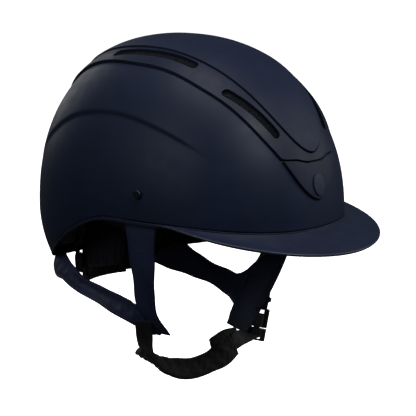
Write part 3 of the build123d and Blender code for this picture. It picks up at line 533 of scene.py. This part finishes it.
def make_shell():
    """The shell as two faces with its thickness between, open under the vents."""
    turn = np.linspace(0, 2 * math.pi, SHELL_COLUMNS, endpoint=False)
    outer = shell_layer(turn, 0.0, -SEAM_GROOVE)
    inner = shell_layer(turn, SHELL_THICK, SEAM_OVERLAP)
    away = outer - np.array(SHELL_CENTRE)
    away /= np.linalg.norm(away, axis=-1, keepdims=True)
    outer = outer - brow_depth(outer)[..., None] * away
    points = np.concatenate([outer, inner]).reshape(-1, 3)
    count = SHELL_ROWS * SHELL_COLUMNS
    skin = grid_faces(SHELL_ROWS, SHELL_COLUMNS)
    open_faces = over_vents([points[list(face)].mean(axis=0) for face in skin])
    kept = [face for face, is_open in zip(skin, open_faces) if not is_open]
    faces = kept + [tuple(corner + count for corner in face) for face in kept]
    rims = {}
    for face in (face for face, is_open in zip(skin, open_faces) if is_open):
        for corner, after in zip(face, face[1:] + face[:1]):
            edge = (min(corner, after), max(corner, after))
            rims[edge] = rims.get(edge, 0) + 1
    faces += [(a, b, b + count, a + count) for (a, b), uses in rims.items() if uses == 1]
    last = (SHELL_ROWS - 1) * SHELL_COLUMNS
    for column in range(SHELL_COLUMNS):
        after = (column + 1) % SHELL_COLUMNS
        faces.append((last + column, last + after, count + last + after, count + last + column))
    faces.append(tuple(range(SHELL_COLUMNS)))
    faces.append(tuple(range(count, count + SHELL_COLUMNS)))
    shell = mesh_object("helmet_shell", points, faces, "shell_navy", "shell")
    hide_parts("outer_shell")


# ---- woven wire in the vents ----

WIRE_RADIUS, WIRE_PITCH = 0.30, 1.4
WIRE_WAVE = 0.2  # how far a wire goes over and under the ones it crosses
WIRE_STEP = 0.5  # between the points of a wire
GRILLE_SUNK = 1.3  # how far the wires lie below the grille's plain stand-in
HEAD_CENTRE = (0, -8, 30)  # the grilles face away from this point
RAY_ABOVE, RAY_LENGTH = 30, 50
FACING = 0.5  # least cosine between a grille's face and the rays that find it


def make_grille(name):
    """Woven wire across one vent, running slantwise both ways and going over and under."""
    tree, points = node_tree(name)
    middle = points.mean(axis=0)
    away = Vector(middle - np.array(HEAD_CENTRE)).normalized()
    spread = np.linalg.svd(points - middle, full_matrices=False)[2]
    length = Vector(spread[0])
    length = (length - away * length.dot(away)).normalized()
    width = away.cross(length)
    half = float(np.abs((points - middle) @ np.array(length)).max()) + 2
    wires, steps = int(half / WIRE_PITCH), int(half / WIRE_STEP)
    lines = []
    for slant in (1, -1):
        run = (length + slant * width).normalized()
        side = away.cross(run)
        for number in range(-wires, wires + 1):
            line = []
            for step in range(-steps, steps + 1):
                along = step * WIRE_STEP
                start = Vector(middle) + side * (number * WIRE_PITCH) + run * along + away * RAY_ABOVE
                spot, face = tree.ray_cast(start, -away, RAY_LENGTH)[:2]
                if spot and face.dot(away) > FACING:
                    weave = math.cos(math.pi * (along / WIRE_PITCH + number)) * slant
                    line.append(spot + away * (WIRE_WAVE * weave - GRILLE_SUNK))
                else:
                    lines.append(line)
                    line = []
            lines.append(line)
    lines = [line for line in lines if len(line) > 2]
    grille = tube(name + "_wires", lines, WIRE_RADIUS, "vent_wire", "shell", 6)
    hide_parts(name)


# ---- linings ----

CLOTH_FRAMES, CLOTH_PRESSURE = 20, 4.0
PAD_SWELL = 1.4  # the most that any point of a pad may move
LINING_VOXEL = 2.5
LINING_FOLDS = 0.6


def inflated(piece):
    """Lets a closed cover swell a little, as cloth under inner pressure."""
    scene = bpy.context.scene
    before = np.array([vertex.co for vertex in piece.data.vertices])
    cloth = piece.modifiers.new("cloth", "CLOTH")
    cloth.settings.quality = 6
    cloth.settings.mass = 0.2
    cloth.settings.use_pressure = True
    cloth.settings.uniform_pressure_force = CLOTH_PRESSURE
    cloth.settings.effector_weights.gravity = 0.0
    cloth.point_cache.frame_end = CLOTH_FRAMES
    for frame_number in range(1, CLOTH_FRAMES + 1):
        scene.frame_set(frame_number)
    swollen = piece.evaluated_get(bpy.context.evaluated_depsgraph_get()).to_mesh()
    after = np.array([vertex.co for vertex in swollen.vertices])
    piece.modifiers.clear()
    scene.frame_set(1)
    if len(after) != len(before) or not np.isfinite(after).all():
        return
    moved = after - before
    size = np.linalg.norm(moved, axis=1, keepdims=True)
    moved *= np.minimum(1, PAD_SWELL * MM / np.maximum(size, 1e-9))
    piece.data.vertices.foreach_set("co", (before + moved).ravel())
    piece.data.update()


def softened(node_name, name):
    """A sewn lining over a soft CAD node: rounded edges, a full face and gentle folds."""
    cover = mesh_object(name, *node_mesh(node_name), "lining_cloth", "shell")
    rounded(cover, LINING_VOXEL)
    inflated(cover)
    divide = cover.modifiers.new("divide", "SUBSURF")
    divide.levels = divide.render_levels = 1
    apply_modifiers(cover)
    vertices = cover.data.vertices
    moved = []
    for vertex in vertices:
        at = vertex.co / MM
        fold = smooth_noise.noise(Vector((at.x * 0.07, at.y * 0.07, at.z * 0.16)))
        crease = smooth_noise.noise(Vector((at.x * 0.25, at.y * 0.25, at.z * 0.3)))
        moved.append(vertex.co + vertex.normal * MM * LINING_FOLDS * (fold + 0.35 * crease))
    vertices.foreach_set("co", np.array(moved).ravel())
    cover.data.update()
    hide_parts(node_name)


# ---- the cradle's quilted cover and the flaps over its racks ----

COVER_CENTRE_Y = 30.0
COVER_END = 103  # how far round the cradle's cover runs, in degrees
COVER_LOW = [(0, -77), (24, -76), (45, -65), (62, -56), (85, -51), (COVER_END, -46)]
COVER_HIGH = [(0, -52), (24, -51), (45, -42), (62, -28), (85, -12), (COVER_END, -14)]
COVER_OUTER = [(0, 65.7), (27, 65.7), (32, 68.2), (52, 68.2), (60, 69.8), (COVER_END, 70.2)]
COVER_INNER = [(0, 60.2), (40, 60.0), (COVER_END, 61.5)]
COVER_QUILTING = 9.0  # degrees between its sewn channels
COVER_ROUNDING = 5  # degrees over which each end closes
COVER_COLUMNS, COVER_SIDES = 300, 40
COVER_BOUND_EDGE, COVER_EDGE_SHARE = 0.93, 0.55  # the flat edge: from where, and how thick
FLAP_ANGLES = (28, 34, 40, 46, 52, 58, 64)  # degrees round the cradle, outside the racks
FLAP_RADIUS, FLAP_THICK = 74.3, 3.0
FLAP_Z, FLAP_RISE = -60, 0.14  # its middle's height, and how much it rises per degree
FLAP_WIDTH, FLAP_WIDENING = 15, 0.06


def profile(table, at):
    """A value of the cover's tables at an angle, the same on both sides."""
    angles, values = zip(*table)
    return float(np.interp(abs(at), angles, values))


def fuller(value, power):
    """A power of a sine or cosine that keeps its sign; below one it fills a round section out."""
    return abs(value) ** power * (1 if value > 0 else -1)


def cover_ring(angle):
    """The points round the cover's section at one angle."""
    end = max(0.0, 1 - (COVER_END - abs(angle)) / COVER_ROUNDING)
    squeeze = math.sqrt(max(0.02, 1 - end**2))
    low, high = profile(COVER_LOW, angle), profile(COVER_HIGH, angle)
    outer, inner = profile(COVER_OUTER, angle), profile(COVER_INNER, angle)
    puff = 0.55 + 0.45 * abs(math.sin(math.pi * angle / COVER_QUILTING)) ** 0.45
    turn = math.radians(angle)
    ring = []
    for side in range(COVER_SIDES):
        round_turn = 2 * math.pi * side / COVER_SIDES
        a, b = math.cos(round_turn), math.sin(round_turn)
        out, up = fuller(a, 0.55), fuller(b, 0.7)
        share = puff if abs(b) < COVER_BOUND_EDGE else COVER_EDGE_SHARE
        radius = (outer + inner) / 2 + out * ((outer - inner) / 2 * squeeze * share)
        z = (high + low) / 2 + up * (high - low) / 2 * (0.75 + 0.25 * squeeze)
        fold = 0.5 * math.sin(z * 0.45 + angle * 0.21) * out
        radius += fold if radius + fold < outer else 0
        ring.append((radius * math.sin(turn), COVER_CENTRE_Y + radius * math.cos(turn), z))
    return ring


def make_cradle_cover():
    """Quilted cloth over the nape cradle, from temple to temple."""
    points = []
    for column in range(COVER_COLUMNS + 1):
        points += cover_ring(-COVER_END + 2 * COVER_END * column / COVER_COLUMNS)
    faces = sweep_faces(COVER_COLUMNS + 1, COVER_SIDES)
    cover = mesh_object("cradle_cover", points, faces, "lining_cloth", "cradle")
    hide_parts("cradle_pad")


def flap_station(angle):
    """A station of the soft flap that shields a rack's end."""
    turn = math.radians(angle)
    x, y = FLAP_RADIUS * math.sin(turn), COVER_CENTRE_Y + FLAP_RADIUS * math.cos(turn)
    width = FLAP_WIDTH + FLAP_WIDENING * abs(angle)
    return (x, y, FLAP_Z + FLAP_RISE * abs(angle)), (0, 0, 1), width, FLAP_THICK


def make_cradle_flaps():
    for side in ("right", "left"):
        flap = [flap_station(-angle if side == "right" else angle) for angle in FLAP_ANGLES]
        piece = band(f"{side}_cradle_flap", flap, padded_section, "lining_cloth", "cradle", 8, 0.15, 13)


# ---- stations that a band passes through: point, the way its width lies, width, thickness ----

FRONT_LEG_TOP = [
    ((-99.6, -40.5, 45), (-0.11, 1, 0), 24, 2.2),
    ((-103.2, -39.5, 6), (-0.11, 1, 0), 30, 2.4),
]
RIGHT_FRONT_LEG = FRONT_LEG_TOP + [
    ((-99.5, -37, -25), (0, 1, 0), 27.5, 4.6),
    ((-91.5, -32.5, -55), (0.1, 1, 0), 23, 5.0),
    ((-78, -24, -80), (0.2, 1, 0), 24, 5.0),
    ((-57, -21, -104), (0, 1, 0.1), 25, 3.6),
]
RIGHT_REAR_LEG = [
    ((-57, -24, -103), (0.5, 0.1, 0.8), 10, 3.0),
    ((-65, -17, -95), (0.5, 0.0, 0.8), 16, 3.8),
    ((-73.5, -8, -87), (0.5, -0.1, 0.8), 17, 4.4),
    ((-80.5, 6.5, -79.5), (0.5, -0.1, 0.8), 16.5, 5.0),
    ((-85, 25, -71.5), (0.6, 0, 0.8), 14, 5.0),
    ((-85, 48, -65.5), (0.5, 0, 0.8), 13, 4.8),
    ((-80, 67, -58.5), (0.4, -0.1, 0.9), 15.5, 4.6),
    ((-72, 84, -54), (0.2, -0.2, 1), 23, 4.2),
    ((-62, 97, -48), (0.0, -0.35, 1), 26, 3.4),
    ((-52, 105, -43), (0.0, -0.3, 1), 22, 2.4),
]


def mirrored_stations(stations):
    """The same stations on the helmet's other side."""
    return [((-p[0], p[1], p[2]), (-a[0], a[1], a[2]), w, t) for p, a, w, t in stations]


LEFT_FRONT_LEG = mirrored_stations(FRONT_LEG_TOP) + [
    ((99.5, -37, -25), (0, 1, 0), 28, 4.6),
    ((92, -34, -56), (-0.1, 1, 0), 26, 5.0),
    ((79, -23, -88), (-0.2, 1, 0), 29, 4.6),
    ((60.5, -14, -125), (0, 1, 0.15), 26, 3.4),
]
LEFT_REAR_LEG = [
    ((66.5, -19, -113), (0.5, -0.1, 0.8), 12, 3.0),
    ((73, -15.5, -103), (0.5, -0.1, 0.8), 20, 3.6),
    ((78, -6, -95), (0.35, -0.1, 0.9), 25, 4.2),
    ((82.5, 12, -89), (0, -0.1, 1), 24, 4.6),
    ((84.5, 35, -83), (-0.15, 0, 0.95), 21, 4.8),
    ((81.5, 56, -76), (-0.2, -0.1, 0.95), 27, 4.6),
    ((74.5, 77, -66), (-0.1, -0.2, 1), 35, 4.2),
    ((64, 94, -57), (0.0, -0.3, 1), 33, 3.4),
    ((52, 105, -46), (0.0, -0.3, 1), 24, 2.4),
]
LEFT_GUSSET = [
    ((88, -31, -58), (-0.1, 0.85, 0.5), 10, 4.2),
    ((84, -20, -74), (-0.2, 0.7, 0.7), 17, 4.4),
    ((83, -4, -85), (-0.1, 0.3, 0.9), 17, 4.4),
    ((84, 16, -86), (-0.1, 0.0, 0.9), 12, 4.0),
]
WEBBING_WIDTH, WEBBING_THICK = 15.0, 1.6


def web(point, across):
    """A station of the plain webbing."""
    return point, across, WEBBING_WIDTH, WEBBING_THICK


RIGHT_WEBBING = [
    web((-74.5, -16.5, -91.0), (-0.5, 0.85, -0.1)),
    web((-69.6, -13.5, -104.4), (-0.5, 0.85, -0.1)),
    web((-58, -4.5, -119), (-0.2, 0.95, 0.1)),
    web((-46, 2.5, -130), (0.25, 0.95, 0.1)),
]
LEFT_WEBBING = [
    web((84.5, -28, -88.5), (0, 1, 0)),
    web((80.5, -30, -95.5), (0, 1, 0)),
    web((76.7, -31, -102), (0, 1, 0)),
    web((75.0, -31, -106.6), (0, 1, 0)),
]
PAD_PATH = [
    ((-47, 12, -126.5), (0.35, 0.8, -0.3), 22, 9.0),
    ((-40, 4.5, -134.5), (0.32, 0.75, 0.0), 23, 9.0),
    ((-29, -5.5, -143.5), (0.25, 0.6, 0.35), 22, 8.5),
    ((-12, -16.5, -147.5), (0.2, 0.45, 0.8), 20, 8.5),
    ((4, -26, -143.5), (-0.1, 0.4, 0.9), 20, 8.5),
    ((17, -32.5, -137), (-0.4, 0.2, 0.88), 24, 9.5),
    ((30, -35, -130.5), (-0.35, 0.15, 0.9), 22, 7.5),
]
SLEEVE_WEBBING = [
    web((28, -35.5, -128.5), (-0.35, 0.15, 0.9)),
    web((38, -35.3, -126.0), (-0.1, 0.5, 0.85)),
    web((48, -34, -126.2), (-0.05, 0.8, 0.6)),
    web((57.5, -32.2, -127.3), (0, 0.97, 0.25)),
    web((67, -31, -129.6), (0, 1, 0)),
]
BUCKLE_PAD = [
    ((8, -26.5, -131), (-0.1, 0.1, 0.97), 19, 4.4),
    ((23, -30, -127.5), (0, 0.1, 1), 23, 5.0),
    ((42, -29.5, -126.5), (0, 0.15, 0.98), 19, 4.0),
]


def along_stations(stations, steps):
    """Points along a band: spot, run, across, its face's normal, width and thickness."""
    points = [Vector(station[0]) for station in stations]
    result = []
    for span in range(len(stations) - 1):
        before = points[max(span - 1, 0)]
        start, end = points[span], points[span + 1]
        after = points[min(span + 2, len(points) - 1)]
        _, start_across, start_width, start_thick = stations[span]
        _, end_across, end_width, end_thick = stations[span + 1]
        last = span == len(stations) - 2
        for step in range(steps + (1 if last else 0)):
            t = step / steps
            spot = 0.5 * (
                2 * start + (end - before) * t + (2 * before - 5 * start + 4 * end - after) * t**2
                + (3 * start - before - 3 * end + after) * t**3
            )
            run = (end - before) * (1 - t) + (after - start) * t
            ease = t * t * (3 - 2 * t)
            across = Vector(start_across).lerp(Vector(end_across), ease)
            run.normalize()
            across = (across - run * across.dot(run)).normalized()
            width = start_width * (1 - ease) + end_width * ease
            thick = start_thick * (1 - ease) + end_thick * ease
            result.append((spot, run, across, run.cross(across), width, thick))
    return result


# ---- sections of a band, as loops of points (across, out of its face) ----

BEAD_RADIUS, BEAD_SHARE = 1.15, 0.42  # of the bound edge, and its most as a share of the thickness
CROWN_SHARES = (-0.97, -0.85, -0.6, -0.3, 0, 0.3, 0.6, 0.85, 0.97)  # across the padded middle
RIB_WIDTH, RIB_HEIGHT = 0.16, 0.16  # shares of the strap's width and thickness
SLEEVE_SIDES = 36


def flat_section(width, thick):
    """Webbing: flat, with a slightly thicker woven edge."""
    half, deep = width / 2, thick / 2
    edge = [(half - 0.8, 0.9), (half - 0.3, 0.8), (half, 0.0), (half - 0.3, -0.8), (half - 0.8, -0.9)]
    top = [(half * k, 0.82) for k in (-0.75, -0.5, -0.25, 0, 0.25, 0.5, 0.75)]
    return [(sign * a, sign * b * deep) for sign in (1, -1) for a, b in top + edge]


def padded_section(width, thick):
    """A padded strap: a bound edge each side, a sewn channel beside it, and a crowned middle."""
    half, bead = width / 2, min(BEAD_RADIUS, thick * BEAD_SHARE)
    bound = []
    for step in range(9):
        angle = math.radians(140 - 35 * step)
        bound.append((half - bead + bead * math.cos(angle), bead * math.sin(angle)))
    inner = half - 2 * bead - 0.5
    crown = [(inner * k, thick * (0.30 + 0.2 * (1 - abs(k) ** 2.5))) for k in CROWN_SHARES]
    top = [(-half + 2 * bead, thick * 0.2)] + crown + [(half - 2 * bead, thick * 0.2)]
    return [(sign * a, sign * b) for sign in (1, -1) for a, b in top + bound]


def ribbed_section(width, thick):
    """The front leg's section: the padded strap's, with a raised rib down its middle."""
    result = []
    for a, b in padded_section(width, thick):
        rib = math.exp(-((a / (RIB_WIDTH * width)) ** 2)) * RIB_HEIGHT * thick
        result.append((a, b + (rib if b > 0 else 0)))
    return result


def sleeve_section(width, thick):
    """A soft tube: fuller in the middle, pinched at a sewn edge along each side."""
    loop = []
    for step in range(SLEEVE_SIDES):
        angle = 2 * math.pi * step / SLEEVE_SIDES
        loop.append((width / 2 * fuller(math.cos(angle), 0.75), thick / 2 * fuller(math.sin(angle), 0.8)))
    return loop


# ---- bands, cords and stitches ----

RIPPLES = [(1.0, 0.55, 0.25), (0.6, 1.1, -0.4), (0.4, 1.9, 0.6)]  # size, rate along and rate across
CALM_EDGE = 0.9  # how much of the ripple is gone at a band's edges
CLOSING = 2.5  # rings over which a band's ends close
END_NARROWING = 0.06
CORD_TIP = 0.35  # the share of its radius that a cord keeps at its tips
CORD_ASIDE = Vector((0.3, 0.2, 0.93))  # no cord runs along this direction
PIPING_RADIUS, PIPING_INSET = 1.05, 0.3
PIPING_STEPS, STITCH_STEPS = 10, 60  # points between two stations
STITCH_PITCH, STITCH_LONG, STITCH_WIDE = 3.2, 2.1, 0.42
STITCH_RINGS, STITCH_SIDES = 5, 6


def band(name, stations, section, slot, body, steps, wrinkle, seed, ends=0.5):
    """A band swept through its stations, a little rippled, with its ends thinned by a share."""
    rings = along_stations(stations, steps)
    draw = random.Random(seed)
    phases = [draw.uniform(0, 6.28) for _ in RIPPLES]
    points, travelled, before = [], 0.0, None
    for index, (spot, _, across, face, width, thick) in enumerate(rings):
        travelled += (spot - before).length if before else 0
        before = spot
        close = min(index, len(rings) - 1 - index)
        pinch = 1 - ends * (1 - min(close / CLOSING, 1)) ** 2
        for a, b in section(width, thick * pinch):
            ripple = wrinkle * sum(
                size * math.sin(travelled * along + phase + sideways * a)
                for (size, along, sideways), phase in zip(RIPPLES, phases)
            )
            lift = b + ripple * (1 if b > 0 else -1) * (1 - (2 * a / width) ** 2 * CALM_EDGE)
            points.append(spot + across * (a * (1 - END_NARROWING * (1 - pinch))) + face * lift)
    faces = sweep_faces(len(rings), len(points) // len(rings))
    return mesh_object(name, points, faces, slot, body)


def joined(name, parts):
    """Joins pieces of one body and slot into the first of them."""
    first = parts[0]
    work = bmesh.new()
    for part in parts:
        work.from_mesh(part.data)
    work.to_mesh(first.data)
    work.free()
    smooth(first.data)
    for part in parts[1:]:
        bpy.data.objects.remove(part)
    first.name = name
    return first


def stitches(name, lines, slot, body):
    """Rows of short thread stitches, along lines of (point, run, across, normal)."""
    points, faces = [], []
    for line in lines:
        travelled, before = 0.0, None
        for spot, run, across, face in line:
            travelled += (spot - before).length if before else STITCH_PITCH
            before = spot
            if travelled < STITCH_PITCH:
                continue
            travelled -= STITCH_PITCH
            faces += sweep_faces(STITCH_RINGS, STITCH_SIDES, len(points))
            for ring in range(STITCH_RINGS):
                lean = math.pi * (ring + 0.5) / STITCH_RINGS
                for side in range(STITCH_SIDES):
                    turn = 2 * math.pi * side / STITCH_SIDES
                    points.append(
                        spot + run * (STITCH_LONG / 2 * math.cos(lean))
                        + across * (STITCH_WIDE * math.sin(lean) * math.cos(turn))
                        + face * (STITCH_WIDE * math.sin(lean) * math.sin(turn))
                    )
    return mesh_object(name, points, faces, slot, body)


def stitch_lines(stations, inset, lift, skip=(0.0, 1.0)):
    """Lines along both edges of a band's two faces, inset, between two shares of its length."""
    dense = along_stations(stations, STITCH_STEPS)
    first, last = int(skip[0] * len(dense)), int(skip[1] * len(dense))
    lines = []
    for side in (1, -1):
        for up in (1, -1):
            lines.append([
                (s + a * side * (w / 2 - inset) + f * up * (t * lift), r, a, f)
                for s, r, a, f, w, t in dense[first:last]
            ])
    return lines


def edge_line(stations, side, first, last):
    """A line along one edge of a band, between two shares of its length."""
    dense = along_stations(stations, PIPING_STEPS)
    chosen = dense[int(first * (len(dense) - 1)):int(last * (len(dense) - 1)) + 1]
    return [s + a * side * (w / 2 - PIPING_INSET) for s, _, a, _, w, _ in chosen]


def tube(name, lines, radius, slot, body, sides=10):
    """Round cords along lines of points in millimetres, as one piece."""
    points, faces = [], []
    for line in lines:
        faces += sweep_faces(len(line), sides, len(points))
        for index, spot in enumerate(line):
            ahead = line[min(index + 1, len(line) - 1)] - line[max(index - 1, 0)]
            run = ahead.normalized()
            across = run.cross(CORD_ASIDE).normalized()
            face = run.cross(across)
            end = CORD_TIP if index in (0, len(line) - 1) else 1.0
            for side in range(sides):
                turn = 2 * math.pi * side / sides
                points.append(spot + radius * end * (across * math.cos(turn) + face * math.sin(turn)))
    return mesh_object(name, points, faces, slot, body)


# ---- the straps ----

FUSE_VOXEL = 0.8
FRONT_STITCHED, REAR_STITCHED = (0.3, 0.84), (0.24, 0.85)  # shares of each leg's length


def make_y_strap(side, front, rear, gusset):
    """A padded strap whose two legs are one skin, with piping on its edges and stitches."""
    legs = [
        band("leg", front, ribbed_section, "strap_leather", "shell", 16, 0.10, 3),
        band("leg", rear, padded_section, "strap_leather", "shell", 12, 0.22, 5),
    ]
    if gusset:
        legs.append(band("leg", gusset, padded_section, "strap_leather", "shell", 12, 0.1, 6))
    strap = joined(f"{side}_padded_strap", legs)
    rounded(strap, FUSE_VOXEL)
    piping = [
        edge_line(front, 1, 0.1, 0.97),
        edge_line(front, -1, 0.1, 0.97),
        edge_line(rear, 1, 0.28, 1.0),
        edge_line(rear, -1, 0.05, 1.0),
    ]
    tube(f"{side}_strap_piping", piping, PIPING_RADIUS, "strap_leather", "shell")
    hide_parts(f"{side}_y_strap")
    lines = stitch_lines(front, 3.1, 0.24, FRONT_STITCHED) + stitch_lines(rear, 2.9, 0.24, REAR_STITCHED)
    stitches(f"{side}_strap_stitching", lines, "strap_leather", "shell")


def webbing(name, stations, body, wrinkle, seed):
    return band(name, stations, flat_section, "webbing_black", body, 10, wrinkle, seed)


def make_chin_strap():
    """The webbing on both sides, the padded sleeve and the flap behind the buckle."""
    near = webbing("right_chin_webbing", RIGHT_WEBBING, "chin_strap", 0.05, 7)
    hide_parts("right_webbing")
    tail = webbing("sleeve_tail_webbing", SLEEVE_WEBBING, "chin_strap", 0.04, 8)
    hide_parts("chin_webbing")
    far = webbing("left_chin_webbing", LEFT_WEBBING, "shell", 0.04, 9)
    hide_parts("left_webbing")
    pad = band("chin_sleeve", PAD_PATH, sleeve_section, "pad_cloth", "chin_strap", 16, 0.5, 11, 0.35)
    inflated(pad)
    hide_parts("chin_pad")
    flap = band("buckle_flap", BUCKLE_PAD, padded_section, "pad_cloth", "chin_strap", 12, 0.05, 12)
    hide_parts("buckle_pad")
    lines = stitch_lines(PAD_PATH, 2.0, 0.32, (0.02, 0.98)) + stitch_lines(BUCKLE_PAD, 2.6, 0.3)
    stitches("chin_strap_stitching", lines, "webbing_black", "chin_strap")


back, right = make_camera()
make_stage(back, right)
dress_frame()
make_shell()
for vent in VENT_NODES:
    make_grille(vent)
softened("comfort_headband", "headband_lining")
softened("crown_pad", "crown_lining")
make_cradle_cover()
make_cradle_flaps()
make_y_strap("right", RIGHT_FRONT_LEG, RIGHT_REAR_LEG, None)
make_y_strap("left", LEFT_FRONT_LEG, LEFT_REAR_LEG, LEFT_GUSSET)
make_chin_strap()
